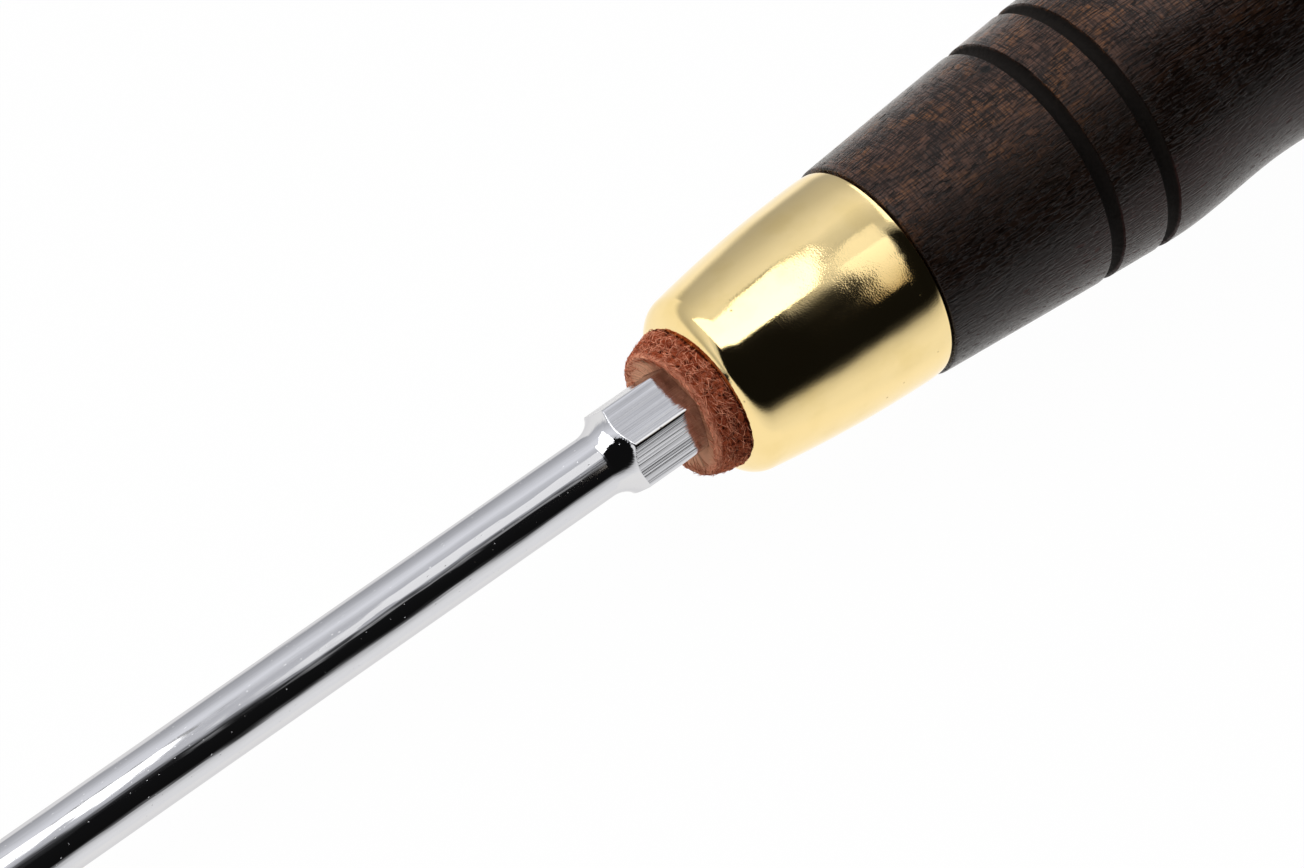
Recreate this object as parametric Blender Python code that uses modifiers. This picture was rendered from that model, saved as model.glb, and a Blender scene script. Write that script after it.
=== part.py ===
"""A slotted screwdriver with a chromed blade, a leather washer, a brass ferrule and a turned wooden handle.

The tool lies along X. The origin is the middle of the blade's end face, and +X runs towards the butt.
The flats of the tip and two flats of the hexagonal bolster face straight up and down.
"""

import math

import bmesh
import bpy

MM = 0.001

# Gap left between neighbouring pieces
FIT_GAP = 0.3 * MM

# Blade, one forging: flat tip, round shank, hexagonal bolster and square tang
BLADE_LENGTH = 150.0 * MM
SHANK_DIAMETER = 6.0 * MM
TIP_WIDTH = 6.5 * MM
TIP_THICKNESS = 1.2 * MM
TIP_LENGTH = 32.0 * MM
GRIND_LENGTH = 14.0 * MM
GRIND_ALLOWANCE = 0.25 * MM
NECK_LENGTH = 2.8 * MM
BOLSTER_LENGTH = 7.2 * MM
BOLSTER_ACROSS_FLATS = 8.0 * MM
BOLSTER_CORNER_EASE = 0.12 * MM
BOLSTER_REAR_CHAMFER = 0.3 * MM
TANG_WIDTH = 5.0 * MM
TANG_END_WIDTH = 3.0 * MM
TANG_LENGTH = 60.0 * MM
TANG_POINT_LENGTH = 5.0 * MM
TANG_POINT_WIDTH = 1.2 * MM
TANG_END_CLEARANCE = 1.0 * MM

# Leather washer, dished round the bolster that has bedded into it
WASHER_LIP_DIAMETER = 14.0 * MM
WASHER_BASE_DIAMETER = 14.9 * MM
WASHER_THICKNESS = 2.55 * MM
WASHER_FLOOR = 1.3 * MM
WASHER_LIP_WIDTH = 0.95 * MM
WASHER_LIP_HEIGHT = 1.3 * MM
WASHER_DISH_DEPTH = 0.6 * MM
WASHER_BASE_EASE = 0.25 * MM

# Brass ferrule, a drawn cup with a rounded nose and a crowned side
FERRULE_LENGTH = 20.7 * MM
FERRULE_FRONT_DIAMETER = 18.15 * MM
FERRULE_REAR_DIAMETER = 21.5 * MM
FERRULE_CROWN = 0.35 * MM
FERRULE_NOSE_RADIUS = 2.6 * MM
FERRULE_WALL = 0.9 * MM
FERRULE_HOLE_CLEARANCE = 1.3 * MM
FERRULE_RIM_EASE = 0.15 * MM

# Wooden handle, measured back from the ferrule's rear edge
SHOULDER_PROUD = 0.15 * MM
SHOULDER_EASE = 0.2 * MM
CONE_LENGTH = 21.9 * MM
CONE_END_DIAMETER = 25.3 * MM
CONE_END_TO_COLLAR = 5.7 * MM
COLLAR_DIAMETER = 26.0 * MM
COLLAR_TO_WAIST = 12.2 * MM
WAIST_DIAMETER = 24.65 * MM
WAIST_TO_BULB = 29.0 * MM
BULB_DIAMETER = 30.0 * MM
BULB_TO_BUTT = 22.3 * MM
GROOVE_COUNT = 2
GROOVE_WIDTH = 1.6 * MM
GROOVE_DEPTH = 0.9 * MM
GROOVE_PITCH = 6.35 * MM
LAST_GROOVE_TO_COLLAR = 3.15 * MM

# Fineness of the facets
SEGMENTS = 40
TIP_STEPS = 16
NECK_STEPS = 8
NOSE_STEPS = 6
CROWN_STEPS = 8
LIP_STEPS = 5
GRIP_STEP = 3.0 * MM
GROOVE_STEPS = 6
BUTT_STEPS = 10

# Squareness of the tip's end section, where 2 is an ellipse
TIP_SQUARENESS = 9.0

# How far cutters reach past what they cut
CUT_MARGIN = 2.0 * MM

# Places along the axis that several pieces share
SEAT_Z = BLADE_LENGTH
WASHER_BASE_Z = SEAT_Z + FIT_GAP + WASHER_FLOOR
WASHER_FRONT_Z = WASHER_BASE_Z - WASHER_THICKNESS
FERRULE_Z = WASHER_BASE_Z + FIT_GAP
SHOULDER_Z = FERRULE_Z + FERRULE_LENGTH + FIT_GAP


def clear_scene():
    for item in list(bpy.data.objects):
        bpy.data.objects.remove(item, do_unlink=True)


def new_collection(name):
    collection = bpy.data.collections.new(name)
    bpy.context.scene.collection.children.link(collection)
    return collection


def new_object(name, mesh, collection, parent, z=0.0):
    """An object on the tool's axis, z along it from the tip."""
    item = bpy.data.objects.new(name, mesh)
    item.parent = parent
    item.location = (0.0, 0.0, z)
    collection.objects.link(item)
    return item


def finish(item, colour, roughness, metallic):
    """Give a piece its own material."""
    material = bpy.data.materials.new(item.name)
    material.use_nodes = True
    shader = material.node_tree.nodes["Principled BSDF"]
    shader.inputs["Base Color"].default_value = (*colour, 1.0)
    shader.inputs["Roughness"].default_value = roughness
    shader.inputs["Metallic"].default_value = metallic
    item.data.materials.append(material)


def as_cutter(item):
    item.hide_render = True
    item.display_type = "WIRE"
    return item


def combine(item, other, operation):
    modifier = item.modifiers.new(other.name, "BOOLEAN")
    modifier.operation = operation
    modifier.solver = "EXACT"
    modifier.object = other


def smoothstep(share):
    return share * share * (3.0 - 2.0 * share)


def oval_ring(z, half_thickness, half_width, squareness):
    """A ring of points on a superellipse: an ellipse at squareness 2, nearly a rectangle at a high one."""
    ring = []
    for k in range(SEGMENTS):
        angle = (k + 0.5) * math.tau / SEGMENTS
        across = math.copysign(abs(math.cos(angle)) ** (2.0 / squareness), math.cos(angle))
        along = math.copysign(abs(math.sin(angle)) ** (2.0 / squareness), math.sin(angle))
        ring.append((half_thickness * across, half_width * along, z))
    return ring


def flat_sided_ring(z, sides, half_across_flats):
    """A regular polygon of points with one flat facing local +X."""
    radius = half_across_flats / math.cos(math.pi / sides)
    angles = [(k + 0.5) * math.tau / sides for k in range(sides)]
    return [(radius * math.cos(a), radius * math.sin(a), z) for a in angles]


def loft_mesh(name, rings, closed=False):
    """Skin a row of rings with as many points each: capped at both ends, or joined back to the first ring."""
    bm = bmesh.new()
    loops = [[bm.verts.new(point) for point in ring] for ring in rings]
    pairs = list(zip(loops, loops[1:]))
    if closed:
        pairs.append((loops[-1], loops[0]))
    else:
        bm.faces.new(loops[0])
        bm.faces.new(loops[-1])
    for lower, upper in pairs:
        for k in range(len(lower)):
            n = (k + 1) % len(lower)
            bm.faces.new((lower[k], lower[n], upper[n], upper[k]))
    bmesh.ops.recalc_face_normals(bm, faces=bm.faces)
    mesh = bpy.data.meshes.new(name)
    bm.to_mesh(mesh)
    bm.free()
    mesh.shade_smooth()
    mesh.set_sharp_from_angle(angle=math.radians(30.0))
    return mesh


def turned(name, line, collection, parent, z, closed=False):
    """A profile of (z, radius) points, listed from front to back on the outside, turned about the axis."""
    half_step = math.pi / SEGMENTS
    spots = [(r * math.cos(half_step), r * math.sin(half_step), along) for along, r in reversed(line)]
    edges = [(k, k + 1) for k in range(len(spots) - 1)]
    if closed:
        edges.append((len(spots) - 1, 0))
    mesh = bpy.data.meshes.new(name)
    mesh.from_pydata(spots, edges, [])
    item = new_object(name, mesh, collection, parent, z)
    screw = item.modifiers.new("Turn", "SCREW")
    screw.axis = "Z"
    screw.angle = math.tau
    screw.steps = SEGMENTS
    screw.render_steps = SEGMENTS
    screw.use_merge_vertices = True
    screw.merge_threshold = 0.01 * MM
    screw.use_smooth_shade = True
    return item


def monotone_curve(stations):
    """A smooth function through (z, radius) stations that is level at each crest and waist."""
    slopes = [(b[1] - a[1]) / (b[0] - a[0]) for a, b in zip(stations, stations[1:])]
    tangents = [slopes[0]]
    for before, after in zip(slopes, slopes[1:]):
        rising = before * after > 0.0
        tangents.append(2.0 * before * after / (before + after) if rising else 0.0)
    tangents.append(0.0)

    def radius_at(z):
        k = max(i for i in range(len(slopes)) if i == 0 or stations[i][0] <= z)
        (z0, r0), (z1, r1) = stations[k], stations[k + 1]
        span = z1 - z0
        t = (z - z0) / span
        blend = smoothstep(t)
        pull = t * (1.0 - t) * ((1.0 - t) * tangents[k] - t * tangents[k + 1]) * span
        return r0 + (r1 - r0) * blend + pull

    return radius_at


# Blade

def tip_half_thickness(z):
    """The forged flat before grinding, swelling into the round shank."""
    share = min(z / TIP_LENGTH, 1.0)
    start = TIP_THICKNESS / 2 + GRIND_ALLOWANCE
    return start + (SHANK_DIAMETER / 2 - start) * math.sin(share * math.pi / 2)


def tip_half_width(z):
    share = min(z / TIP_LENGTH, 1.0)
    start = TIP_WIDTH / 2 + GRIND_ALLOWANCE
    return start + (SHANK_DIAMETER / 2 - start) * smoothstep(share)


def bar_rings():
    """Sections of the forged bar from the flattened tip to the bolster's seat."""
    rings = []
    for k in range(TIP_STEPS + 1):
        share = k / TIP_STEPS
        z = TIP_LENGTH * share
        squareness = 2.0 + (TIP_SQUARENESS - 2.0) * (1.0 - share) ** 2
        rings.append(oval_ring(z, tip_half_thickness(z), tip_half_width(z), squareness))
    shank = SHANK_DIAMETER / 2
    corner = BOLSTER_ACROSS_FLATS / math.sqrt(3.0) - BOLSTER_CORNER_EASE
    neck_start = SEAT_Z - BOLSTER_LENGTH - NECK_LENGTH
    for k in range(NECK_STEPS + 1):
        share = k / NECK_STEPS
        radius = shank + (corner - shank) * smoothstep(share)
        rings.append(oval_ring(neck_start + NECK_LENGTH * share, radius, radius, 2.0))
    chamfered = corner - BOLSTER_REAR_CHAMFER
    rings.append(oval_ring(SEAT_Z - BOLSTER_REAR_CHAMFER, corner, corner, 2.0))
    rings.append(oval_ring(SEAT_Z, chamfered, chamfered, 2.0))
    return rings


def bolster_cutter_mesh():
    """A hexagonal tube that leaves the bolster's six flats."""
    low = SEAT_Z - BOLSTER_LENGTH - NECK_LENGTH
    high = SEAT_Z + CUT_MARGIN
    inside = BOLSTER_ACROSS_FLATS / 2
    outside = inside + CUT_MARGIN
    places = ((low, inside), (high, inside), (high, outside), (low, outside))
    return loft_mesh("bolster_cutter", [flat_sided_ring(z, 6, half) for z, half in places], closed=True)


def grinding_cutter_mesh(name, half_at_end, half_at_run_out):
    """A wedge whose lower face is ground from the tip's end to where the forged surface runs out of it."""
    slope = (half_at_run_out - half_at_end) / GRIND_LENGTH
    near = -CUT_MARGIN
    far = GRIND_LENGTH + CUT_MARGIN
    top = half_at_run_out + SHANK_DIAMETER
    reach = TIP_WIDTH + SHANK_DIAMETER
    corners = (
        (half_at_end + slope * near, near),
        (half_at_end + slope * far, far),
        (top, far),
        (top, near),
    )
    return loft_mesh(name, [[(x, y, z) for x, z in corners] for y in (-reach, reach)])


def tang_rings(start_z, clearance, end_clearance):
    """Square sections of the tapered tang, or of the hole that takes it."""
    end_z = SEAT_Z + TANG_LENGTH
    taper = (TANG_END_WIDTH - TANG_WIDTH) / TANG_LENGTH
    sections = (
        (start_z, TANG_WIDTH + taper * (start_z - SEAT_Z)),
        (end_z, TANG_END_WIDTH),
        (end_z + TANG_POINT_LENGTH + end_clearance, TANG_POINT_WIDTH),
    )
    return [flat_sided_ring(z, 4, width / 2 + clearance) for z, width in sections]


def make_blade(parts, cutters, parent):
    blade = new_object("blade", loft_mesh("blade", bar_rings()), parts, parent)
    finish(blade, (0.80, 0.80, 0.82), 0.08, 1.0)
    hexagon = as_cutter(new_object("bolster_cutter", bolster_cutter_mesh(), cutters, parent))
    combine(blade, hexagon, "DIFFERENCE")
    faces = (
        (TIP_THICKNESS / 2, tip_half_thickness(GRIND_LENGTH)),
        (TIP_WIDTH / 2, tip_half_width(GRIND_LENGTH)),
    )
    for turn in range(4):
        name = f"grinding_cutter_{turn + 1}"
        wedge = new_object(name, grinding_cutter_mesh(name, *faces[turn % 2]), cutters, parent)
        wedge.rotation_euler.z = turn * math.pi / 2
        combine(blade, as_cutter(wedge), "DIFFERENCE")
    root_z = SEAT_Z - BOLSTER_LENGTH / 2
    tang = new_object("tang_body", loft_mesh("tang_body", tang_rings(root_z, 0.0, 0.0)), cutters, parent)
    combine(blade, as_cutter(tang), "UNION")
    return blade


def tang_hole_cutter(cutters, parent):
    """The square hole that the washer and the handle keep clear round the tang."""
    mesh = loft_mesh("tang_hole", tang_rings(SEAT_Z - CUT_MARGIN, FIT_GAP, TANG_END_CLEARANCE))
    return as_cutter(new_object("tang_hole", mesh, cutters, parent))


# Leather washer

def washer_line():
    """From the axis over the dished front, the rounded lip and the side to the base."""
    crest = WASHER_LIP_DIAMETER / 2 - WASHER_LIP_WIDTH
    base = WASHER_BASE_DIAMETER / 2
    dish_radius = crest - 2.0 * WASHER_DISH_DEPTH
    line = [(WASHER_DISH_DEPTH, 0.0)]
    for k in range(LIP_STEPS + 1):
        share = k / LIP_STEPS
        radius = dish_radius + (crest - dish_radius) * share
        line.append((WASHER_DISH_DEPTH * (1.0 - smoothstep(share)), radius))
    for k in range(1, LIP_STEPS + 1):
        angle = k / LIP_STEPS * math.pi / 2
        drop = WASHER_LIP_HEIGHT * (1.0 - math.cos(angle))
        line.append((drop, crest + WASHER_LIP_WIDTH * math.sin(angle)))
    line.append((WASHER_THICKNESS - WASHER_BASE_EASE, base))
    line.append((WASHER_THICKNESS, base - WASHER_BASE_EASE))
    line.append((WASHER_THICKNESS, 0.0))
    return line


def make_washer(parts, cutters, parent, tang_hole):
    washer = turned("leather_washer", washer_line(), parts, parent, WASHER_FRONT_Z)
    finish(washer, (0.33, 0.12, 0.07), 0.9, 0.0)
    half = BOLSTER_ACROSS_FLATS / 2 + FIT_GAP
    ends = (WASHER_FRONT_Z - CUT_MARGIN, SEAT_Z + FIT_GAP)
    pocket_mesh = loft_mesh("bolster_pocket", [flat_sided_ring(z, 6, half) for z in ends])
    combine(washer, as_cutter(new_object("bolster_pocket", pocket_mesh, cutters, parent)), "DIFFERENCE")
    combine(washer, tang_hole, "DIFFERENCE")
    return washer


# Ferrule

def ferrule_line(inset):
    """The ferrule's outside, set in by inset: the nose's arc, then the crowned side to the rear edge."""
    shoulder = FERRULE_FRONT_DIAMETER / 2
    rear = FERRULE_REAR_DIAMETER / 2
    nose = FERRULE_NOSE_RADIUS
    lean = math.atan((rear - shoulder + 4.0 * FERRULE_CROWN) / (FERRULE_LENGTH - nose))
    line = []
    for k in range(NOSE_STEPS + 1):
        angle = k / NOSE_STEPS * (math.pi / 2 - lean)
        reach = nose - inset
        line.append((nose - reach * math.cos(angle), shoulder - nose + reach * math.sin(angle)))
    side_z = nose * (1.0 - math.sin(lean))
    side_radius = shoulder - nose + nose * math.cos(lean)
    for k in range(1, CROWN_STEPS + 1):
        share = k / CROWN_STEPS
        swell = 4.0 * FERRULE_CROWN * share * (1.0 - share)
        radius = side_radius + (rear - side_radius) * share + swell
        line.append((side_z + (FERRULE_LENGTH - side_z) * share, radius - inset))
    return line


def ferrule_hole_radius():
    return TANG_WIDTH / math.sqrt(2.0) + FERRULE_HOLE_CLEARANCE


def make_ferrule(parts, parent):
    outside = ferrule_line(0.0)
    inside = ferrule_line(FERRULE_WALL)
    rear_z, rear_radius = outside.pop()
    rim = [(rear_z - FERRULE_RIM_EASE, rear_radius), (rear_z, rear_radius - FERRULE_RIM_EASE)]
    hole = ferrule_hole_radius()
    line = [(0.0, hole), *outside, *rim, *reversed(inside), (FERRULE_WALL, hole)]
    ferrule = turned("ferrule", line, parts, parent, FERRULE_Z, closed=True)
    finish(ferrule, (0.83, 0.62, 0.25), 0.12, 1.0)
    return ferrule


# Handle

def grip_stations():
    """Places and radii of the shoulder, the cone's end, the collar, the waist and the bulb."""
    cone_end = CONE_LENGTH
    collar = cone_end + CONE_END_TO_COLLAR
    waist = collar + COLLAR_TO_WAIST
    bulb = waist + WAIST_TO_BULB
    return [
        (0.0, FERRULE_REAR_DIAMETER / 2 + SHOULDER_PROUD),
        (cone_end, CONE_END_DIAMETER / 2),
        (collar, COLLAR_DIAMETER / 2),
        (waist, WAIST_DIAMETER / 2),
        (bulb, BULB_DIAMETER / 2),
    ]


def groove_centres():
    last = CONE_LENGTH + CONE_END_TO_COLLAR - LAST_GROOVE_TO_COLLAR
    return [last - GROOVE_PITCH * k for k in range(GROOVE_COUNT)]


def grip_line():
    """From the shoulder's edge over the grooves, the waist and the bulb to the domed butt."""
    stations = grip_stations()
    radius_at = monotone_curve(stations)
    bulb, bulb_radius = stations[-1]
    half = GROOVE_WIDTH / 2
    centres = groove_centres()
    count = math.ceil((bulb - SHOULDER_EASE) / GRIP_STEP)
    plain = [SHOULDER_EASE + (bulb - SHOULDER_EASE) * k / count for k in range(count + 1)]
    places = [(z, 0.0) for z in plain if all(abs(z - c) > 1.2 * half for c in centres)]
    for centre in centres:
        for k in range(GROOVE_STEPS + 1):
            angle = k / GROOVE_STEPS * math.pi
            places.append((centre - half * math.cos(angle), GROOVE_DEPTH * math.sin(angle)))
    line = [(0.0, radius_at(0.0) - SHOULDER_EASE)]
    line += [(z, radius_at(z) - depth) for z, depth in sorted(places)]
    for k in range(1, BUTT_STEPS + 1):
        angle = k / BUTT_STEPS * math.pi / 2
        radius = bulb_radius * math.cos(angle) if k < BUTT_STEPS else 0.0
        line.append((bulb + BULB_TO_BUTT * math.sin(angle), radius))
    return line


def make_handle(parts, parent, tang_hole):
    tenon = ferrule_line(FERRULE_WALL + FIT_GAP)
    tenon_end = (FERRULE_LENGTH + FIT_GAP, tenon[-1][1])
    line = [(tenon[0][0], 0.0), *tenon[:-1], tenon_end]
    line += [(SHOULDER_Z - FERRULE_Z + z, radius) for z, radius in grip_line()]
    handle = turned("handle", line, parts, parent, FERRULE_Z)
    finish(handle, (0.055, 0.030, 0.022), 0.45, 0.0)
    combine(handle, tang_hole, "DIFFERENCE")
    return handle


def main():
    clear_scene()
    parts = new_collection("screwdriver")
    cutters = new_collection("cutters")
    axis = bpy.data.objects.new("tool_axis", None)
    axis.rotation_euler = (0.0, math.pi / 2, 0.0)
    parts.objects.link(axis)
    tang_hole = tang_hole_cutter(cutters, axis)
    make_blade(parts, cutters, axis)
    make_washer(parts, cutters, axis, tang_hole)
    make_ferrule(parts, axis)
    make_handle(parts, axis, tang_hole)
    bpy.context.view_layer.update()


main()
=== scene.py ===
# %% [markdown]
# # A screwdriver with a chromed blade and a wooden handle
#
# This lesson dresses a packed CAD model for its picture. The CAD pieces are exact, but they are plain and
# made of flat facets. Polished metal shows each facet as a broken reflection, so every piece is built again
# here with many more points at the same sizes, and then gets a finish made of shader nodes. The tool lies
# along X with its tip at the origin, and the camera looks down on it from the -Y side.

import math

import bpy
import numpy as np
from mathutils import Matrix, Vector, noise


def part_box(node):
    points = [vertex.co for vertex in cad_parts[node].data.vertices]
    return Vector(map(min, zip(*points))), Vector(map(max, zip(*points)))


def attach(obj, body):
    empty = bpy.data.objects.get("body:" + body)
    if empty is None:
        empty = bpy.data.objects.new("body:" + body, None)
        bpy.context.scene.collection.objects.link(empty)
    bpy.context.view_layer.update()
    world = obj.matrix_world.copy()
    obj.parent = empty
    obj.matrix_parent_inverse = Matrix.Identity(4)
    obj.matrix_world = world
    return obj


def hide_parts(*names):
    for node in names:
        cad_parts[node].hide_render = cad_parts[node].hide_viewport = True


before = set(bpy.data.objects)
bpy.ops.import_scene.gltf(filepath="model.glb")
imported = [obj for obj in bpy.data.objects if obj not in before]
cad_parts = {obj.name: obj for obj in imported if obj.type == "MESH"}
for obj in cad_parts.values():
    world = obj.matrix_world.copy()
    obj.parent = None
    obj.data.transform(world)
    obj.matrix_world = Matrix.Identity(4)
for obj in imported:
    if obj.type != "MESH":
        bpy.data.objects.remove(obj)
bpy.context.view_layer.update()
MM = 0.001
for node_name in sorted(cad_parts):
    low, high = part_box(node_name)
    print(node_name, "runs from", round(low.x / MM, 2), "to", round(high.x / MM, 2), "mm along the axis")

# %% [markdown]
# ## Shader maths as plain Python
#
# A finish is a sum of patterns, and a sum reads best as a sum. This small class wraps one socket. Adding or
# multiplying two of them puts a Math node between them, so `1 - mask` is a node as well as an expression.
# Colours never go through a Math node, which would turn them grey; they go through Mix.

# %% A socket that can be calculated with
class Wire:
    """A socket that a value comes out of. Arithmetic on it adds Math nodes to the same tree."""

    def __init__(self, nodes, socket):
        self.nodes = nodes
        self.socket = socket

    def output(self, key):
        return Wire(self.nodes, self.socket.node.outputs[key])

    def maths(self, operation, *terms):
        return self.nodes.add("ShaderNodeMath", {"operation": operation}, dict(enumerate(terms)))

    def __add__(self, other):
        return self.maths("ADD", self, other)

    def __radd__(self, other):
        return self.maths("ADD", other, self)

    def __sub__(self, other):
        return self.maths("SUBTRACT", self, other)

    def __rsub__(self, other):
        return self.maths("SUBTRACT", other, self)

    def __mul__(self, other):
        return self.maths("MULTIPLY", self, other)

    def __rmul__(self, other):
        return self.maths("MULTIPLY", other, self)

    def __truediv__(self, other):
        return self.maths("DIVIDE", self, other)

    def __rtruediv__(self, other):
        return self.maths("DIVIDE", other, self)

    def step(self, low, high):
        """0 below low, 1 above high and a smooth rise between them."""
        places = {"Value": self, "From Min": low, "From Max": high}
        return self.nodes.add("ShaderNodeMapRange", {"interpolation_type": "SMOOTHSTEP"}, places)


class Nodes:
    """A node tree that starts empty, with one method that adds a node of any type."""

    def __init__(self, tree):
        self.tree = tree
        tree.nodes.clear()

    def add(self, kind, settings=None, sockets=None, output=0):
        """Add a node, set it up, fill or link its sockets and return one of its outputs."""
        made = self.tree.nodes.new(kind)
        for name, value in (settings or {}).items():
            if name == "stops":
                self.set_stops(made.color_ramp, value)
            else:
                setattr(made, name, value)
        for key, value in (sockets or {}).items():
            place = made.inputs[key]
            if isinstance(value, Wire):
                self.tree.links.new(value.socket, place)
            elif place.type == "RGBA":
                place.default_value = (*value, 1.0)
            else:
                place.default_value = value
        return Wire(self, made.outputs[output]) if len(made.outputs) else None

    @staticmethod
    def set_stops(ramp, stops):
        """Stops are (place from 0 to 1, colour) pairs in rising order."""
        for place, _ in stops[1:-1]:
            ramp.elements.new(place)
        for element, (place, colour) in zip(ramp.elements, stops):
            element.position = place
            element.color = (*colour, 1.0)

    def blend(self, factor, first, second):
        """A colour between two colours."""
        return self.add("ShaderNodeMix", {"data_type": "RGBA"}, {0: factor, 6: first, 7: second}, output=2)

    def millimetres(self):
        """The place on the piece, in millimetres of the shared frame."""
        place = self.add("ShaderNodeTexCoord").output("Object")
        return self.add("ShaderNodeVectorMath", {"operation": "SCALE"}, {0: place, "Scale": 1.0 / MM})

    def stretched(self, place, per_mm):
        """The place with each axis scaled, so that a pattern runs long along the small ones."""
        return self.add("ShaderNodeVectorMath", {"operation": "MULTIPLY"}, {0: place, 1: per_mm})

    def clouds(self, place, per_mm, detail=2.0, distortion=0.0):
        """Soft noise from 0 to 1 whose cells are 1 / per_mm long on each axis."""
        sockets = {"Vector": self.stretched(place, per_mm), "Scale": 1.0, "Detail": detail}
        sockets["Distortion"] = distortion
        return self.add("ShaderNodeTexNoise", {}, sockets)

    def mark(self, name):
        """A number that the mesh carries at each of its points."""
        return self.add("ShaderNodeAttribute", {"attribute_name": name}, output="Fac")

    def spot(self, place, centre, core, reach):
        """1 within the core radius of one place, fading to 0 at its reach."""
        away = self.add("ShaderNodeVectorMath", {"operation": "DISTANCE"}, {0: place, 1: centre}, output=1)
        return 1 - away.step(core, reach)

    def dots(self, place, per_mm, core, reach, least, ease=0.04):
        """Scattered round dots, one in each cell of a pattern whose random number is above least."""
        sockets = {"Vector": self.stretched(place, per_mm), "Scale": 1.0}
        cells = self.add("ShaderNodeTexVoronoi", {}, sockets)
        number = self.add("ShaderNodeSeparateColor", {}, {0: cells.output("Color")})
        chosen = number.step(least, least + ease)
        return (1 - cells.step(core, reach)) * chosen

    def bump(self, height, depth_mm):
        """A normal for a relief, where a height of 1 stands for depth_mm."""
        sockets = {"Height": height, "Distance": depth_mm * MM, "Strength": 1.0}
        return self.add("ShaderNodeBump", {}, sockets)


def new_finish(name):
    material = bpy.data.materials.new(name)
    material.use_nodes = True
    return material, Nodes(material.node_tree)


def close_finish(nodes, sockets):
    """End a material with the Principled shader."""
    shader = nodes.add("ShaderNodeBsdfPrincipled", {}, sockets)
    nodes.add("ShaderNodeOutputMaterial", {}, {"Surface": shader})
    print("finish with", len(nodes.tree.nodes), "nodes")


print("a tree of nodes can", [name for name in vars(Nodes) if not name.startswith("_")])

# %% [markdown]
# ## The camera
#
# The camera is placed by what the picture shows: how far the tool's axis turns away from the line of sight,
# how the hexagon is rolled towards the lens, and the slope of the axis across the frame. A long lens at
# about two thirds of a metre gives the gentle perspective of a close product picture.

# %% Place the camera
IMAGE_WIDTH = 1304
AXIS_TO_SIGHT = math.radians(68.5)
ROLL = math.radians(65.4)
SLOPE_IN_FRAME = math.radians(34.9)
CAMERA_DISTANCE = 0.650
PIXELS_PER_METRE = 11350.0
AIM_ALONG_AXIS = 0.14635
AIM_BESIDE_AXIS = 0.00044
SENSOR_WIDTH = 36.0
NEAREST_SEEN = 0.01

axis = Vector((1.0, 0.0, 0.0))
to_camera = Vector((
    -math.cos(AXIS_TO_SIGHT),
    -math.sin(AXIS_TO_SIGHT) * math.cos(ROLL),
    math.sin(AXIS_TO_SIGHT) * math.sin(ROLL),
))
along = (axis - axis.dot(to_camera) * to_camera).normalized()
beside = to_camera.cross(along)
right = math.cos(SLOPE_IN_FRAME) * along - math.sin(SLOPE_IN_FRAME) * beside
up = math.sin(SLOPE_IN_FRAME) * along + math.cos(SLOPE_IN_FRAME) * beside
aim = AIM_ALONG_AXIS * axis - AIM_BESIDE_AXIS * beside

camera_data = bpy.data.cameras.new("camera")
camera_data.sensor_width = SENSOR_WIDTH
camera_data.lens = PIXELS_PER_METRE * CAMERA_DISTANCE * SENSOR_WIDTH / IMAGE_WIDTH
camera_data.clip_start = NEAREST_SEEN
camera = bpy.data.objects.new("camera", camera_data)
bpy.context.scene.collection.objects.link(camera)
turn = Matrix((right, up, to_camera)).transposed().to_4x4()
camera.matrix_world = Matrix.Translation(aim + CAMERA_DISTANCE * to_camera) @ turn
bpy.context.scene.camera = camera
bpy.context.scene.view_settings.view_transform = "Standard"
stands_at = [round(c, 3) for c in camera.matrix_world.translation]
print("lens", round(camera_data.lens, 1), "mm, camera at", stands_at)

# %% [markdown]
# ## Turning and lofting
#
# Every piece of this tool goes round one axis, as work on a lathe does. A mesh here is a row of rings from
# front to back, and each ring is a radius for every angle. A plain number gives a round ring, and an array
# gives a hexagon, a square or a ragged edge, so one function skins them all. All sizes from here on are in
# millimetres.

# %% Rings and skins
def round_the_axis(count):
    """Angles about X: 0 is straight up, and a quarter turn faces -Y, the camera's side."""
    return np.arange(count) * math.tau / count


def ring(x, radius, angles):
    """Points at a radius, or at one radius for each angle, round the axis at x."""
    x = np.broadcast_to(x, angles.shape)
    return np.stack([x, -radius * np.sin(angles), radius * np.cos(angles)], axis=1)


def new_piece(name, points, faces):
    """A mesh object from points in metres."""
    mesh = bpy.data.meshes.new(name)
    mesh.from_pydata(points, [], faces)
    piece = bpy.data.objects.new(name, mesh)
    bpy.context.scene.collection.objects.link(piece)
    return piece


def skin(name, rings, loop=False):
    """A closed piece over a row of rings, which is capped at both ends or joined back to the first ring."""
    rings = np.asarray(rings)
    rows, around = rings.shape[:2]
    points = rings.reshape(-1, 3) * MM
    index = np.arange(rows * around).reshape(rows, around)
    front = index if loop else index[:-1]
    back = np.roll(index, -1, axis=0) if loop else index[1:]
    quads = np.stack([front, np.roll(front, -1, axis=1), np.roll(back, -1, axis=1), back], axis=-1)
    faces = quads.reshape(-1, 4).tolist()
    if not loop:
        first, last = len(points), len(points) + 1
        points = np.concatenate([points, rings[[0, -1]].mean(axis=1) * MM])
        faces += [[int(b), int(a), first] for a, b in zip(index[0], np.roll(index[0], -1))]
        faces += [[int(a), int(b), last] for a, b in zip(index[-1], np.roll(index[-1], -1))]
    piece = new_piece(name, points.tolist(), faces)
    piece.data.shade_smooth()
    print(name, "has", len(points), "points and", len(faces), "faces")
    return piece


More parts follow.
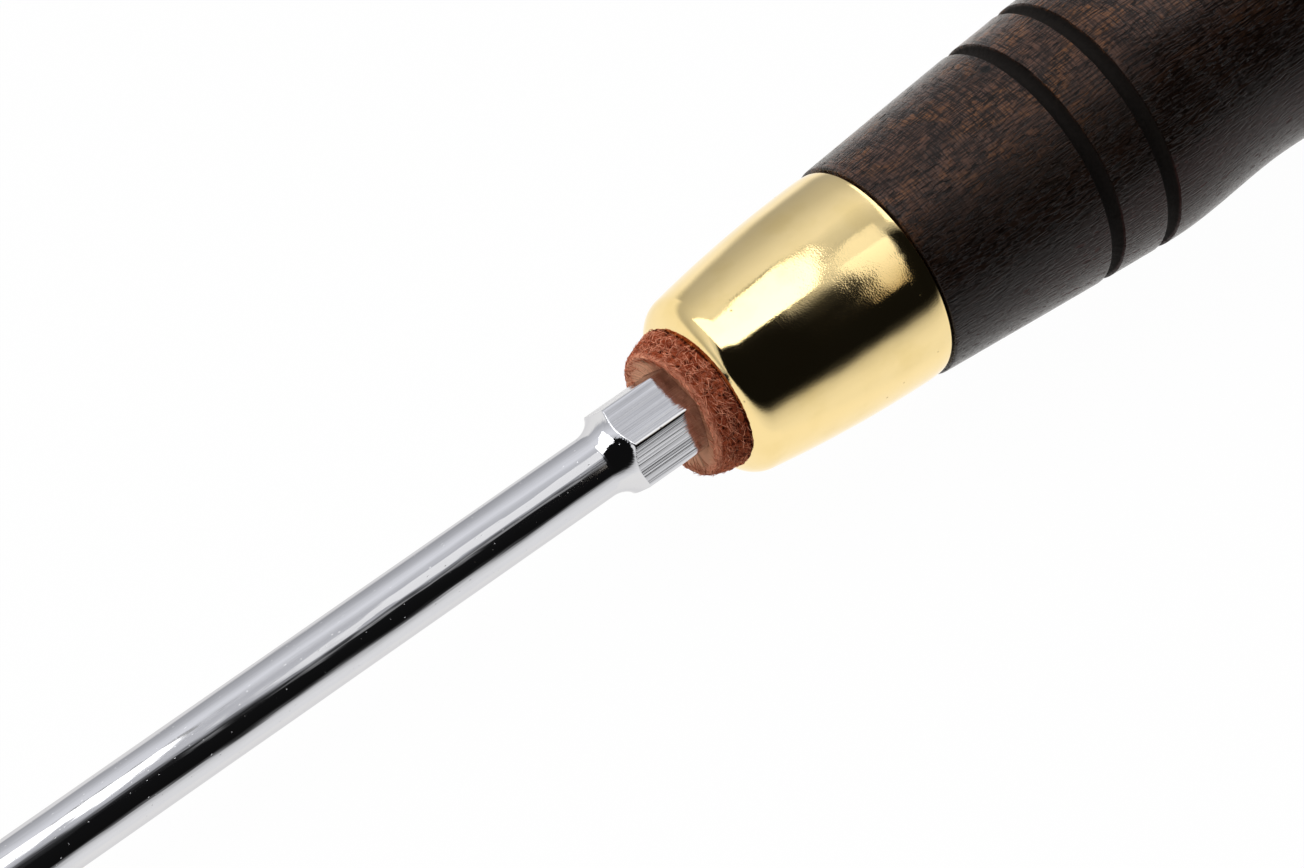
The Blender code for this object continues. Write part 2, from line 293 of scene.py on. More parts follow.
def mark_points(piece, name, values):
    """Keep a number at each point of the mesh for its finish to read; caps get 0."""
    kept = np.zeros(len(piece.data.vertices), np.float32)
    values = np.asarray(values, np.float32).ravel()
    kept[: len(values)] = values
    piece.data.attributes.new(name, "FLOAT", "POINT").data.foreach_set("value", kept)


def dress(piece, material, node):
    """Give a piece its finish, let it ride on the tool and, if a CAD node is named, stand for that."""
    piece.data.materials.append(material)
    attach(piece, "root")
    if node:
        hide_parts(node)


def smoothstep(share):
    """0 below 0, 1 above 1 and a smooth rise between them."""
    share = np.clip(share, 0.0, 1.0)
    return share * share * (3.0 - 2.0 * share)


def soft_least(a, b, ease):
    """The smaller of two radii, with the edge between them rounded over a width of ease."""
    share = np.clip(0.5 + 0.5 * (b - a) / ease, 0.0, 1.0)
    return b + (a - b) * share - ease * share * (1.0 - share)


print("a ring of four points:", ring(0.0, 1.0, round_the_axis(4)).round(3).tolist())

# %% [markdown]
# ## The blade
#
# The blade is one forging: a flat tip with ground faces, a round shank, a hexagonal bolster for a wrench
# and a square tang that the handle hides. It could be cut from a bar with Booleans, as the CAD model is,
# but their thin triangles spoil a mirror finish. Here each ring takes the least of several radii, the
# turned neck, the hexagon or a ground face, so the scalloped edges where they meet come out by themselves.
# The scallops are slightly rounded, as polishing leaves them.

# %% Blade sizes and shape
SHANK_RADIUS = 3.0
TIP_HALF_WIDTH = 3.25
TIP_HALF_THICKNESS = 0.6
TIP_LENGTH = 32.0
TIP_SQUARENESS = 9.0
ROUND_SECTION = 2.0
GRIND_LENGTH = 14.0
GRIND_ALLOWANCE = 0.25
NECK_START = 140.03
NECK_FILLET = 3.0
FILLET_SHARE = 0.99
NECK_LENGTH = 2.8
HEX_HALF = 4.0
HEX_CORNER = 4.55
SEAT = 150.0
SEAT_CHAMFER = 0.3
TANG_WIDTH = 5.0
TANG_END_WIDTH = 3.0
TANG_END = 210.0
TANG_POINT = 215.0
TANG_POINT_WIDTH = 1.2
EDGE_EASE = 0.06
CORNER_EASE = 0.10
TINY = 1e-6


def polygon_radius(half, sides, angles):
    """Distance from the axis to a regular polygon with a flat facing up."""
    part = math.tau / sides
    from_flat = (angles + part / 2) % part - part / 2
    return half / np.cos(from_flat)


def tip_radius(x, angles):
    """The forged flat, cut back by the four ground faces."""
    share = min(x / TIP_LENGTH, 1.0)
    thick_start = TIP_HALF_THICKNESS + GRIND_ALLOWANCE
    wide_start = TIP_HALF_WIDTH + GRIND_ALLOWANCE

    def thickness(part):
        return thick_start + (SHANK_RADIUS - thick_start) * math.sin(part * math.pi / 2)

    def width(part):
        return wide_start + (SHANK_RADIUS - wide_start) * float(smoothstep(part))

    squareness = ROUND_SECTION + (TIP_SQUARENESS - ROUND_SECTION) * (1.0 - share) ** 2
    across = np.abs(np.cos(angles)) / thickness(share)
    aside = np.abs(np.sin(angles)) / width(share)
    radius = (across ** squareness + aside ** squareness) ** (-1.0 / squareness)
    run_out = GRIND_LENGTH / TIP_LENGTH
    ground_thick = TIP_HALF_THICKNESS + (thickness(run_out) - TIP_HALF_THICKNESS) * x / GRIND_LENGTH
    ground_wide = TIP_HALF_WIDTH + (width(run_out) - TIP_HALF_WIDTH) * x / GRIND_LENGTH
    radius = np.minimum(radius, ground_thick / np.maximum(np.abs(np.cos(angles)), TINY))
    return np.minimum(radius, ground_wide / np.maximum(np.abs(np.sin(angles)), TINY))


def bolster_radius(x, angles):
    """The concave fillet that swells from the shank into the hexagon."""
    run = min(max(x - NECK_START, 0.0), FILLET_SHARE * NECK_FILLET)
    neck = SHANK_RADIUS + NECK_FILLET - math.sqrt(NECK_FILLET ** 2 - run ** 2)
    past_flats = float(smoothstep((neck - HEX_HALF) / (HEX_CORNER - HEX_HALF)))
    ease = EDGE_EASE + (CORNER_EASE - EDGE_EASE) * past_flats
    return soft_least(min(neck, HEX_CORNER), polygon_radius(HEX_HALF, 6, angles), ease)


print("hexagon", 2 * HEX_HALF, "mm across its flats, on a shank of", 2 * SHANK_RADIUS, "mm")

# %% Build the blade
BLADE_AROUND = 600
TIP_END_PLACES = [0.0, 0.03, 0.08]
TIP_FIRST_RING = 0.2
TIP_STEP = 0.43
SHANK_STEP = 10.0
NECK_STEP = 0.05
NECK_MARGIN = 0.2
HEX_RINGS = 5
SHARP_EDGE = math.radians(40.0)

angles = round_the_axis(BLADE_AROUND)
tip_places = np.concatenate([TIP_END_PLACES, np.arange(TIP_FIRST_RING, TIP_LENGTH, TIP_STEP)])
shank_places = np.arange(TIP_LENGTH, NECK_START - NECK_MARGIN, SHANK_STEP)
neck_places = NECK_START + np.arange(-NECK_MARGIN, NECK_LENGTH + NECK_MARGIN, NECK_STEP)
hex_places = np.linspace(NECK_START + NECK_LENGTH + 2 * NECK_MARGIN, SEAT - SEAT_CHAMFER, HEX_RINGS)
rings = [ring(x, tip_radius(x, angles), angles) for x in tip_places]
rings += [ring(x, SHANK_RADIUS, angles) for x in shank_places]
rings += [ring(x, bolster_radius(x, angles), angles) for x in np.concatenate([neck_places, hex_places])]
rings.append(ring(SEAT, bolster_radius(SEAT, angles) - SEAT_CHAMFER, angles))
for x, tang_width in ((SEAT, TANG_WIDTH), (TANG_END, TANG_END_WIDTH), (TANG_POINT, TANG_POINT_WIDTH)):
    rings.append(ring(x, polygon_radius(tang_width / 2, 4, angles), angles))
blade = skin("blade_chromed", rings)
blade.data.set_sharp_from_angle(angle=SHARP_EDGE)

# %% [markdown]
# Wheel marks lie only on the hexagon's flats and on the tip's ground faces. The mesh carries two numbers
# for them at every point, 1 where the wheel has been and 0 elsewhere, and the finish reads these numbers.

# %% Mark where the blade is ground
FLAT_MARGIN = 0.004
GRIND_FADE_FROM = 11.0
GRIND_FADE = 5.0

on_flat, on_tip = [], []
for row in rings:
    reach = np.hypot(row[:, 1], row[:, 2])
    flat = np.abs(reach - polygon_radius(HEX_HALF, 6, angles)) < FLAT_MARGIN
    on_flat.append(flat & (row[:, 0] > NECK_START) & (row[:, 0] <= SEAT))
    on_tip.append(np.full(BLADE_AROUND, 1.0 - smoothstep((row[0, 0] - GRIND_FADE_FROM) / GRIND_FADE)))
mark_points(blade, "ground_flat", on_flat)
mark_points(blade, "ground_tip", on_tip)
print("points on the hexagon's flats:", int(np.sum(on_flat)))

# %% [markdown]
# ## Chrome
#
# Chrome plate is a slightly blue mirror. What makes it look real is how it is not perfect: the shank was
# drawn and buffed, so its reflections waver a little along its length, and small pits catch the light. The
# hexagon keeps the fine lines of the grinding wheel along the axis, with duller streaks between them, and
# the tip is ground across. All but the streaks are relief, so they go into one Bump height, in millimetres.

# %% Chrome finish
CHROME_DULL, CHROME_BRIGHT = (0.66, 0.66, 0.68), (0.70, 0.70, 0.72)
CHROME_AT_EDGES = (0.80, 0.80, 0.82)
STREAK_GREY = (0.46, 0.46, 0.48)

chrome, n = new_finish("chrome_plate")
place = n.millimetres()
flat = n.mark("ground_flat")
tip = n.mark("ground_tip")
buffed = (1 - flat) * (1 - tip)
waver = n.clouds(place, (0.09, 0.42, 0.42), 1.0)
drawn = n.clouds(place, (0.14, 2.4, 2.4), 2.0)
lines = n.clouds(place, (0.03, 4.8, 4.8), 2.0)
deep_lines = n.clouds(place, (0.02, 0.8, 0.8), 1.0)
tip_lines = n.clouds(place, (5.5, 0.15, 0.15), 3.0)
pits = n.dots(place, (1.6, 2.2, 2.2), 0.05, 0.15, 0.58) * buffed
relief = (waver * 0.100 + drawn * 0.014) * buffed - pits * 0.014
relief = relief + (lines * 0.052 + deep_lines * 0.080) * flat + tip_lines * tip * 0.0060
haze = n.clouds(place, (0.5, 1.2, 1.2), 4.0)
streaks = n.clouds(place, (0.03, 5.5, 5.5), 2.0).step(0.34, 0.62)
colour = n.blend(haze, CHROME_DULL, CHROME_BRIGHT)
colour = n.blend(streaks * flat * 0.45, colour, STREAK_GREY)
close_finish(n, {
    "Base Color": colour,
    "Metallic": 1.0,
    "Roughness": 0.03 + haze * 0.03 + flat * 0.03 + tip * 0.12 + pits * 0.2,
    "Specular Tint": CHROME_AT_EDGES,
    "Normal": n.bump(relief, 1.0),
})
dress(blade, chrome, "blade")

# %% [markdown]
# ## The brass ferrule
#
# The ferrule is a drawn cup of thin brass. It has a rounded nose, a crowned side and a turned rear edge,
# and it is open inside, where the handle's tenon sits. A spun profile is enough, as long as the profile has
# many steps on the nose, because a polished curve shows its steps as stripes.

# %% Ferrule sizes and shape
FERRULE_FRONT = 151.9
FERRULE_REAR = 172.72
FERRULE_FRONT_RADIUS = 9.075
FERRULE_REAR_RADIUS = 10.75
FERRULE_CROWN = 0.35
REAR_TURN = 0.13
REAR_TURN_LENGTH = 1.8
NOSE_RADIUS = 2.6
FERRULE_WALL = 0.9
FERRULE_HOLE = 4.84
RIM_EASE = 0.16


def ferrule_profile(inset, steps):
    """The outside of the cup, set in by inset, as (x, radius) pairs from the nose to the rear edge.

    The crowned side is a parabola, and the round nose ends at the slope that the side starts with.
    """
    length = FERRULE_REAR - FERRULE_FRONT
    rise = FERRULE_REAR_RADIUS - FERRULE_FRONT_RADIUS + 4.0 * FERRULE_CROWN
    lean = math.atan(rise / (length - NOSE_RADIUS))
    middle = FERRULE_FRONT_RADIUS - NOSE_RADIUS
    turn = np.linspace(0.0, math.pi / 2 - lean, steps)
    reach = NOSE_RADIUS - inset
    nose = np.stack([NOSE_RADIUS - reach * np.cos(turn), middle + reach * np.sin(turn)], axis=1)
    side_x = NOSE_RADIUS * (1.0 - math.sin(lean))
    side_radius = middle + NOSE_RADIUS * math.cos(lean)
    share = np.linspace(0.0, 1.0, 2 * steps)[1:]
    swell = 4.0 * FERRULE_CROWN * share * (1.0 - share)
    radius = side_radius + (FERRULE_REAR_RADIUS - side_radius) * share + swell - inset
    side = np.stack([side_x + (length - side_x) * share, radius], axis=1)
    profile = np.concatenate([nose, side])
    past = np.clip((profile[:, 0] - length) / REAR_TURN_LENGTH + 1.0, 0.0, 1.0)
    profile[:, 1] -= REAR_TURN * past ** 2
    profile[:, 0] += FERRULE_FRONT
    return profile


print("ferrule", round(FERRULE_REAR - FERRULE_FRONT, 2), "mm long")

# %% Build the ferrule
FERRULE_AROUND = 288
OUTSIDE_STEPS = 60
INSIDE_STEPS = 10
RIM_STEPS = 6

outside = ferrule_profile(0.0, OUTSIDE_STEPS)
inside = ferrule_profile(FERRULE_WALL, INSIDE_STEPS)[::-1]
rim_turn = np.linspace(0.0, math.pi / 2, RIM_STEPS)
rim_x = FERRULE_REAR - RIM_EASE + RIM_EASE * np.sin(rim_turn)
rim_radius = FERRULE_REAR_RADIUS - REAR_TURN - RIM_EASE + RIM_EASE * np.cos(rim_turn)
rim = np.stack([rim_x, rim_radius], axis=1)
bore = np.array([[FERRULE_FRONT + FERRULE_WALL, FERRULE_HOLE], [FERRULE_FRONT, FERRULE_HOLE]])
profile = np.concatenate([bore, outside[outside[:, 0] < rim_x[0]], rim, inside])
angles = round_the_axis(FERRULE_AROUND)
ferrule = skin("ferrule_polished", [ring(x, radius, angles) for x, radius in profile], loop=True)
ferrule.data.set_sharp_from_angle(angle=SHARP_EDGE)

# %% [markdown]
# ## Polished brass
#
# Buffed brass is yellow because it soaks up blue light, and it is softer than chrome, so the wheel leaves a
# fine grain that roughens the edges of dark reflections. Shallow dents make the reflections swim, thin
# scratches run round the cup, a few dark specks sit in the polish, and the colour turns a little duller in
# patches. The relief is again in millimetres.

# %% Brass finish
BRASS_BRIGHT, BRASS_DULL = (0.91, 0.71, 0.35), (0.86, 0.66, 0.30)
SPECK_BROWN = (0.30, 0.20, 0.06)

brass, n = new_finish("buffed_brass")
place = n.millimetres()
grain = n.clouds(place, (6.5, 6.5, 6.5), 1.0)
dents = n.clouds(place, (0.28, 0.28, 0.28), 1.0)
hairlines = n.clouds(place, (6.0, 0.35, 0.35), 3.0)
tarnish = n.clouds(place, (0.22, 0.22, 0.22), 5.0)
specks = n.dots(place, (0.55, 0.55, 0.55), 0.03, 0.09, 0.70)
colour = n.blend(tarnish.step(0.42, 0.72), BRASS_BRIGHT, BRASS_DULL)
colour = n.blend(specks * 0.6, colour, SPECK_BROWN)
relief = grain * 0.0036 + dents * 0.040 + hairlines * 0.0012 - specks * 0.004
close_finish(n, {
    "Base Color": colour,
    "Metallic": 1.0,
    "Roughness": 0.05 + tarnish * 0.05 + specks * 0.3,
    "Normal": n.bump(relief, 1.0),
})
dress(ferrule, brass, "ferrule")

# %% [markdown]
# ## The leather washer
#
# A thick leather washer sits between the bolster and the ferrule and takes the shock of a mallet. The steel
# has bedded into it, so its front is dished, its lip stands up round the dish and its cut edge has spread
# and frayed. It is hand cut and sits a little low, so it is neither round nor centred. The shape is one
# ring that loops through pocket, dish, lip, edge and base, and noise that follows the surface tears up the
# edge.

# %% Washer sizes and shape
WASHER_AROUND = 540
POCKET_FLOOR = 151.8
POCKET_GAP = 0.005
BASE_RADIUS = 5.2
SOFTENING = 20

# Each row is a place on the cut outline: its angle, where the crest is, how far out it is, how far out the
# bottom edge is, and where the dish meets the hexagon.
CUT_OUTLINE = np.array([
    (-105.0, 148.75, 6.05, 7.15, 149.60),
    (-60.0, 148.80, 5.90, 7.00, 149.66),
    (-22.0, 148.88, 5.95, 6.60, 149.64),
    (5.0, 149.10, 6.00, 6.92, 149.62),
    (25.0, 149.27, 5.98, 7.10, 149.62),
    (45.0, 149.12, 6.00, 7.25, 149.62),
    (68.0, 149.00, 6.05, 7.47, 149.60),
    (92.0, 148.92, 6.10, 7.25, 149.35),
    (118.0, 148.82, 6.10, 7.05, 149.12),
    (150.0, 148.80, 6.00, 7.10, 149.15),
    (200.0, 148.80, 6.00, 7.15, 149.40),
])


def cut_outline(column, degrees):
    """One column of the outline for every angle, with its corners softened over neighbouring angles."""
    level = np.interp(degrees, CUT_OUTLINE[:, 0], CUT_OUTLINE[:, column], period=360.0)
    shifts = range(-SOFTENING, SOFTENING + 1)
    return sum(np.roll(level, shift) for shift in shifts) / len(shifts)


def wobble(angles, size, seed):
    """A slow change round the axis that joins up with itself."""
    spots = [Vector((math.cos(a) * size, math.sin(a) * size, seed)) for a in angles]
    return np.array([noise.noise(spot) for spot in spots])


def nose_face(radius):
    """Where the ferrule's nose is, so that the leather can lie on it."""
    over = np.clip(radius - (FERRULE_FRONT_RADIUS - NOSE_RADIUS), 0.0, NOSE_RADIUS)
    return FERRULE_FRONT + NOSE_RADIUS - np.sqrt(NOSE_RADIUS ** 2 - over ** 2)


print("washer outline has", len(CUT_OUTLINE), "places")

# %% Washer rings
CUT_WOBBLE = 0.06
NOSE_GAP = 0.02
POCKET_RINGS, DISH_RINGS, EDGE_RINGS, BASE_STEPS = 6, 30, 76, 9
DISH_CURVE = 2.2
EDGE_CROWDING = 0.65
DISH_TORN, CREST_TORN = 0.06, 0.18
TEAR_FROM, TEAR_RISE = 0.28, 0.25

angles = round_the_axis(WASHER_AROUND)
degrees = np.degrees(angles)
crest_x, crest_radius, edge_radius, pocket_x = (cut_outline(column, degrees) for column in (1, 2, 3, 4))
crest_x = crest_x + CUT_WOBBLE * wobble(angles, 3.0, 7.0)
crest_radius = crest_radius + CUT_WOBBLE * wobble(angles, 2.6, 3.0)
edge_radius = edge_radius + CUT_WOBBLE * wobble(angles, 3.5, 17.0)
edge_x = nose_face(edge_radius) - NOSE_GAP
pocket = polygon_radius(HEX_HALF, 6, angles) + POCKET_GAP

# A station is one ring: its place along the axis, its radius and how torn it is.
stations = []
for share in np.linspace(0.0, 1.0, POCKET_RINGS):
    stations.append((POCKET_FLOOR + (pocket_x - POCKET_FLOOR) * share, pocket, 0.0))
for share in np.linspace(0.0, 1.0, DISH_RINGS)[1:]:
    radius = pocket + (crest_radius - pocket) * share
    climb = (radius - HEX_HALF) / (crest_radius - HEX_HALF)
    roughness = DISH_TORN + (CREST_TORN - DISH_TORN) * share
    stations.append((pocket_x + (crest_x - pocket_x) * climb ** DISH_CURVE, radius, roughness))
for share in np.linspace(0.0, 1.0, EDGE_RINGS)[1:]:
    out = share ** EDGE_CROWDING
    radius = crest_radius + (edge_radius - crest_radius) * out
    roughness = CREST_TORN + (1.0 - CREST_TORN) * float(smoothstep((out - TEAR_FROM) / TEAR_RISE))
    stations.append((crest_x + (edge_x - crest_x) * out ** 2, radius, roughness))
for share in np.linspace(0.0, 1.0, BASE_STEPS + 1)[1:]:
    radius = edge_radius + (BASE_RADIUS - edge_radius) * share
    stations.append((nose_face(radius) - NOSE_GAP, radius, 0.0))
rings = np.array([ring(x, radius, angles) for x, radius, _ in stations])
torn = np.array([np.full(WASHER_AROUND, roughness) for _, _, roughness in stations])
print("washer profile has", len(stations), "rings")

# %% [markdown]
# The tearing moves each point along the surface's own direction, found from the neighbouring points of the
# grid. Two kinds of noise are added: lumps of about two thirds of a millimetre, where bundles of fibre have
# pulled, and thin ridges. How deep a point lies is kept with it, so that the finish paints shade into the
# hollows.

# %% Tear up the cut edge
LUMPS_PER_MM, LUMP_HEIGHT = 1.5, 0.09
RIDGES_PER_MM, RIDGE_HEIGHT = 2.6, 0.15
DEEPEST, HIGHEST = -0.26, 0.20
HOLLOW_LEVEL, HOLLOW_GAIN = 0.45, 3.6
UNDER_EDGE_ROWS = 8


def grid_normals(rings):
    """The direction off the surface at every point of a grid that joins up both ways."""
    across = np.roll(rings, -1, axis=1) - np.roll(rings, 1, axis=1)
    down = np.roll(rings, -1, axis=0) - np.roll(rings, 1, axis=0)
    normals = np.cross(across, down)
    return normals / np.maximum(np.linalg.norm(normals, axis=2, keepdims=True), TINY)


def tear(point):
    """How far the fibres stand up at a point of the edge, in millimetres."""
    lumps = noise.fractal(Vector(point) * LUMPS_PER_MM, 1.0, 2.0, 2)
    ridges = noise.ridged_multi_fractal(Vector(point) * RIDGES_PER_MM, 0.9, 2.1, 4, 1.0, 2.0)
    return LUMP_HEIGHT * lumps + RIDGE_HEIGHT * (ridges - 1.0)


lift = np.zeros(torn.shape)
for i, j in np.argwhere(torn > 0.0):
    lift[i, j] = tear(rings[i, j])
surface = rings + grid_normals(rings) * (np.clip(lift, DEEPEST, HIGHEST) * torn)[..., None]
washer = skin("washer_leather", surface, loop=True)
mark_points(washer, "torn", torn)
last_wall = len(stations) - BASE_STEPS
# Painted shade: the last rings of the edge and the base, where the leather meets the ferrule, are marked
# dark.
edge_contact_shade = smoothstep((np.arange(len(stations)) - last_wall) / UNDER_EDGE_ROWS + 1.0)
deep_shade = np.clip(HOLLOW_LEVEL - lift * HOLLOW_GAIN, 0.0, 1.0) * torn
mark_points(washer, "hollow", np.maximum(deep_shade, edge_contact_shade[:, None]))
print("fibre relief from", round(float(lift.min()), 3), "to", round(float(lift.max()), 3), "mm")

# %% [markdown]
# ## Loose fibres
#
# Cut leather frays into fine light fibres that curl off the edge. A bump can't stand clear of the surface,
# so each fibre is a thin tapered tube that follows the torn surface and lifts off it a little. The random
# draws are seeded, so every run gives the same fray.

# %% Shape of a fibre
FIBRE_STEPS = 6
FIBRE_SIDES = 3
FIBRE_RADIUS = 0.042
DARK_SHARE, LIGHT_SHARE = 0.55, 0.45
TAPER_FROM, TAPER_TO = 0.12, 0.92
FIBRE_SUNK, FIBRE_ARCH = 0.015, 0.06
USUAL_RADIUS = 6.9
ROW_PITCH = 0.052
COLUMN_PITCH = math.tau * USUAL_RADIUS / WASHER_AROUND
ASKEW = np.array([0.31, 0.52, 0.79])

surface_normals = grid_normals(surface)


def on_surface(row, column):
    """The point and the direction off the surface at a place of the grid between its rings."""
    r0 = int(np.clip(math.floor(row), 0, len(surface) - 2))
    c0 = math.floor(column)
    rt, ct = float(np.clip(row - r0, 0.0, 1.0)), column - c0
    total = np.zeros(6)
    for r, rw in ((r0, 1.0 - rt), (r0 + 1, rt)):
        for c, cw in ((c0, 1.0 - ct), (c0 + 1, ct)):
            c %= WASHER_AROUND
            total += rw * cw * np.concatenate([surface[r, c], surface_normals[r, c]])
    return total[:3], total[3:]


def fibre_path(row, column, heading, length, curl, lift_end):
    """Points along a fibre that starts in the surface, arches over it and lifts off at its far end."""
    path = []
    for share in np.linspace(0.0, 1.0, FIBRE_STEPS):
        point, off = on_surface(row, column)
        above = FIBRE_ARCH * math.sin(math.pi * share) - FIBRE_SUNK + lift_end * share ** 2
        path.append(point + off * above)
        heading += curl / FIBRE_STEPS
        column += length / FIBRE_STEPS * math.cos(heading) / COLUMN_PITCH
        row += length / FIBRE_STEPS * math.sin(heading) / ROW_PITCH
    return np.array(path)


def fibre_tube(path, tint):
    """Corners of a slender tube along a path. The lighter fibres are thicker, and both ends taper."""
    run = np.gradient(path, axis=0)
    run /= np.linalg.norm(run, axis=1, keepdims=True)
    side = np.cross(run, ASKEW)
    side /= np.linalg.norm(side, axis=1, keepdims=True)
    rise = np.cross(run, side)
    taper = np.sin(math.pi * np.linspace(TAPER_FROM, TAPER_TO, FIBRE_STEPS))
    thick = FIBRE_RADIUS * (DARK_SHARE + LIGHT_SHARE * tint) * taper
    turns = round_the_axis(FIBRE_SIDES)[None, :, None]
    out = np.cos(turns) * side[:, None] + np.sin(turns) * rise[:, None]
    return (path[:, None] + thick[:, None, None] * out).reshape(-1, 3)


def tube_faces(start):
    """The sides and the two end caps of a tube whose first corner is point number start."""
    faces = []
    for low in range(start, start + FIBRE_SIDES * (FIBRE_STEPS - 1), FIBRE_SIDES):
        for corner in range(FIBRE_SIDES):
            a, b = low + corner, low + (corner + 1) % FIBRE_SIDES
            faces.append([a, b, b + FIBRE_SIDES, a + FIBRE_SIDES])
    first = list(range(start, start + FIBRE_SIDES))
    last = [corner + FIBRE_SIDES * (FIBRE_STEPS - 1) for corner in first]
    return faces + [first[::-1], last]


print("a fibre has", len(tube_faces(0)), "faces")

# %% Grow the fibres
FIBRE_COUNT = 2600
FIBRE_LENGTHS = (0.6, 1.7)
TURN_SPREAD = 0.5
LIFT_SPREAD = 0.10
ALONG_SHARE, CROSSING = 0.75, math.pi / 3
TINT_POWER = 1.5
FRAYS_FROM, FRAYS_TO = 0.15, 0.25
FRAY_SEED = 12

first_torn = int(np.argmax(torn[:, 0] > FRAYS_FROM))
last_torn = len(torn) - int(np.argmax(torn[::-1, 0] > FRAYS_TO)) - 1
draw = np.random.default_rng(FRAY_SEED)
fibre_points, fibre_faces, fibre_tints = [], [], []
for _ in range(FIBRE_COUNT):
    row = draw.uniform(first_torn, last_torn)
    column = draw.uniform(0.0, WASHER_AROUND)
    heading = draw.normal(0.0, TURN_SPREAD) + (0.0 if draw.random() < ALONG_SHARE else CROSSING)
    length = draw.uniform(*FIBRE_LENGTHS)
    curl = draw.normal(0.0, TURN_SPREAD)
    lift_end = abs(draw.normal(0.0, LIFT_SPREAD))
    tint = draw.random() ** TINT_POWER
    tube = fibre_tube(fibre_path(row, column, heading, length, curl, lift_end), tint)
    fibre_faces += tube_faces(len(fibre_points))
    fibre_points += (tube * MM).tolist()
    fibre_tints += [tint] * len(tube)
fibres = new_piece("washer_fibres", fibre_points, fibre_faces)
fibres.data.shade_smooth()
mark_points(fibres, "tint", fibre_tints)
print(FIBRE_COUNT, "fibres with", len(fibre_faces), "faces")

# %% [markdown]
# ## Leather
#
# Tanned leather is red-brown and quite matt. The cut edge is the colour of the inside of the hide, warm and
# uneven. Its low side is made paler as painted light, and it is darkened down between the lumps and along
# its bottom edge as painted shade. The dished face was the smooth side of the hide. It is paler than the
# edge, with fine dark lines that run outwards and one small dark spot, and its low side and far lip are
# made paler as painted light. The torn number and the painted shade number that the mesh carries tell the
# finish which is which.

# %% Leather of the cut edge
# The third of these colours is painted light, for the low side of the cut edge.
CUT_RED, CUT_TAN, CUT_PAINTED_LIGHT = (0.27, 0.043, 0.016), (0.45, 0.096, 0.038), (0.98, 0.31, 0.150)
MATTED_TAN = (0.76, 0.33, 0.20)
# Painted shade, for the hollows between the lumps and the bottom edge.
HOLLOW_SHADE_BROWN = (0.055, 0.009, 0.004)

leather, n = new_finish("raw_leather")
place = n.millimetres()
split = n.add("ShaderNodeSeparateXYZ", {}, {0: place})
torn_here = n.mark("torn")
hollow = n.mark("hollow")
blotch = n.clouds(place, (0.7, 0.7, 0.7), 4.0)
matted = n.clouds(place, (3.0, 5.0, 5.0), 4.0, 1.5)
# Painted light: the washer is made paler towards its low side.
low_side_painted_light = (-1.0 * split.output("Z")).step(-2.5, 3.5)
cut = n.blend(blotch.step(0.32, 0.68), CUT_RED, CUT_TAN)
cut = n.blend(low_side_painted_light * 0.85, cut, CUT_PAINTED_LIGHT)
cut = n.blend(matted.step(0.52, 0.70) * 0.5, cut, MATTED_TAN)
# Painted shade: darker down between the lumps and along the bottom edge.
cut = n.blend(hollow.step(0.28, 0.74) * 0.95, cut, HOLLOW_SHADE_BROWN)
print("cut edge with", len(n.tree.nodes), "nodes")

# %% Leather of the dished face
# The third of these colours is painted light, for the low side and the far lip of the dish.
FACE_BROWN, FACE_TAN, FACE_PAINTED_LIGHT = (0.36, 0.135, 0.074), (0.55, 0.228, 0.130), (1.0, 0.53, 0.33)
RAY_BROWN = (0.22, 0.075, 0.040)
RAYS_PER_RADIAN = 18.0
# A small dark spot on the dish, mottled by the matted noise.
DARK_SPOT_PLACE, DARK_SPOT_BROWN = (149.2, 4.28, 3.21), (0.10, 0.070, 0.035)

# Painted light: the far lip of the dish is made paler, like its low side.
far_lip_painted_light = split.output("Y").step(2.5, 5.0)
turn = split.maths("ARCTAN2", split.output("Y"), split.output("Z"))
fan = n.add("ShaderNodeCombineXYZ", {}, {0: turn * RAYS_PER_RADIAN, 1: split.output("Z") * 0.2})
rays = n.clouds(fan, (1.0, 1.0, 1.0), 2.0)
face = n.blend(blotch.step(0.35, 0.7), FACE_BROWN, FACE_TAN)
face = n.blend(low_side_painted_light.maths("MAXIMUM", low_side_painted_light, far_lip_painted_light) * 0.95, face, FACE_PAINTED_LIGHT)
face = n.blend(rays.step(0.50, 0.68) * 0.55, face, RAY_BROWN)
face = n.blend(n.spot(place, DARK_SPOT_PLACE, 0.25, 0.8) * matted.step(0.35, 0.55), face, DARK_SPOT_BROWN)
print("and with the face", len(n.tree.nodes), "nodes")

# %% Leather finish
CREST_TAN = (0.82, 0.34, 0.21)

crest = torn_here.step(0.13, 0.18) * (1 - torn_here.step(0.20, 0.60))
colour = n.blend(torn_here.step(0.15, 0.45), face, cut)
colour = n.blend(crest * 0.6, colour, CREST_TAN)
grain = n.clouds(place, (7.0, 7.0, 7.0), 3.0)
close_finish(n, {
    "Base Color": colour,
    "Roughness": 0.88 - grain * 0.1,
    "Specular IOR Level": 0.05,
    "Normal": n.bump(matted * 0.6 + grain * 0.4, 0.22),
})
dress(washer, leather, "leather_washer")

# %% Fibre finish
FIBRE_RED, FIBRE_PALE, FIBRE_BROWN = (0.44, 0.090, 0.038), (1.0, 0.44, 0.27), (0.30, 0.075, 0.04)

fray, n = new_finish("leather_fibre")
tint = n.mark("tint")
patches = n.clouds(n.millimetres(), (1.5, 1.5, 1.5)).step(0.4, 0.7)
colour = n.blend(tint, FIBRE_RED, FIBRE_PALE)
colour = n.blend(patches * 0.4, colour, FIBRE_BROWN)
close_finish(n, {"Base Color": colour, "Roughness": 0.8 - tint * 0.15, "Specular IOR Level": 0.06})
dress(fibres, fray, None)

